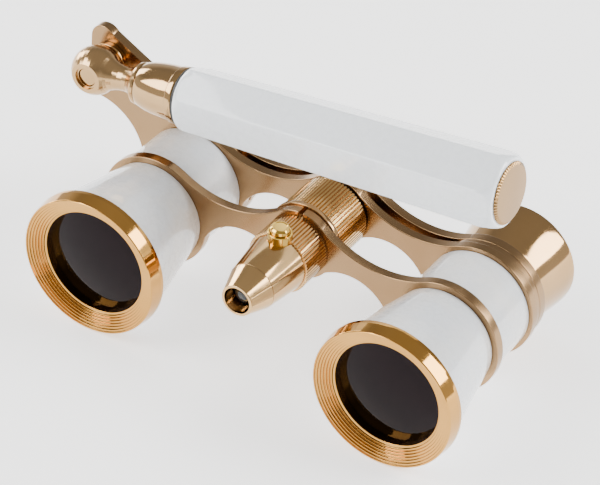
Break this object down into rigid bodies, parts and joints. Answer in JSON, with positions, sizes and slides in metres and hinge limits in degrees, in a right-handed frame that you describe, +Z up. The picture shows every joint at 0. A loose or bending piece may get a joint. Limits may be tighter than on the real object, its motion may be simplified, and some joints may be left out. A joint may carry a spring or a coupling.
{
  "type": "opera glasses",
  "caption": "Theatre binoculars: enamelled barrels on flat bridge plates, central focus wheel, small torch with push button, and a hexagonal handle that swings and slides out.",
  "frame": {"origin": "on the table under the middle of the bounding box, handle stowed", "axes": "+Y along the optical axis from the objectives to the eyecups, +Z up, +X from the handle pivot along the stowed handle"},
  "size_m": [0.1038, 0.0534, 0.053],
  "materials": {
    "champagne_gold": "polished light gold plating",
    "warm_gold": "polished warm gold plating",
    "white_enamel": "gloss white enamel",
    "handle_enamel": "gloss cool white enamel",
    "coated_glass": "clear glass, purple coating",
    "black_paint": "matt black",
    "clear_lamp": "clear epoxy dome",
    "black_plastic": "matt",
    "spring_steel": "bright wire",
    "cell_steel": "satin",
    "yellow_brass": "polished yellow brass",
    "white_plastic": "smooth"
  },
  "bodies": {
    "optics": {"bezel_left": "warm_gold", "bezel_right": "warm_gold", "objective_lens_left": "coated_glass", "objective_lens_right": "coated_glass", "objective_ring_left": "black_paint", "objective_ring_right": "black_paint", "objective_cone_left": "white_enamel", "objective_cone_right": "white_enamel", "inner_tube_left": "champagne_gold", "inner_tube_right": "champagne_gold", "rear_sleeve_left": "white_enamel", "rear_sleeve_right": "white_enamel", "front_bridge": "champagne_gold", "middle_bridge": "champagne_gold", "spindle_bush": "champagne_gold", "torch_cap": "champagne_gold", "torch_barrel": "champagne_gold", "torch_lamp": "clear_lamp", "lamp_holder": "black_plastic", "torch_switch": "black_plastic", "button_spring": "spring_steel", "button_collar": "yellow_brass", "contact_spring": "spring_steel", "torch_cells": "cell_steel", "pivot_pin": "champagne_gold", "pivot_washer": "champagne_gold", "pivot_nut": "champagne_gold"},
    "wheel": {"focus_wheel": "champagne_gold"},
    "eyepieces": {"eyepiece_bridge": "champagne_gold", "focus_screw": "champagne_gold", "screw_nut": "champagne_gold", "eyepiece_tube_left": "champagne_gold", "eyepiece_tube_right": "champagne_gold", "eyepiece_lens_left": "coated_glass", "eyepiece_lens_right": "coated_glass", "eyepiece_ring_left": "black_paint", "eyepiece_ring_right": "black_paint", "eyecup_left": "champagne_gold", "eyecup_right": "champagne_gold"},
    "button": {"torch_button": "yellow_brass"},
    "handle": {"handle_knuckle": "champagne_gold", "handle_ferrule": "champagne_gold", "handle_tube": "champagne_gold", "guide_bush": "white_plastic"},
    "grip": {"handle_sleeve": "handle_enamel", "mouth_bush": "black_plastic", "handle_cap": "champagne_gold"}
  },
  "joints": [
    {"name": "focus_turn", "type": "hinge", "parent": "optics", "child": "wheel", "pos_m": [0.00513, 0.00335, 0.02155], "axis": [0, 1, 0], "range_deg": [0, 450]},
    {"name": "eyepiece_slide", "type": "slide", "parent": "optics", "child": "eyepieces", "axis": [0, 1, 0], "range_m": [0, 0.005]},
    {"name": "torch_press", "type": "slide", "parent": "optics", "child": "button", "axis": [0, 0, -1], "range_m": [0, 0.0008], "stiffness_N_per_m": 600, "springref_m": -0.0003, "deforming": ["button_spring"]},
    {"name": "handle_swing", "type": "hinge", "parent": "optics", "child": "handle", "pos_m": [-0.04698, 0.00415, 0.03445], "axis": [0, -1, 0], "range_deg": [0, 255]},
    {"name": "handle_extend", "type": "slide", "parent": "handle", "child": "grip", "axis": [0.9924, 0, 0.1229], "range_m": [0, 0.056]}
  ],
  "couplings": [
    {"joint": "focus_turn", "follows": "eyepiece_slide", "rad_per_m": 1570.8}
  ]
}
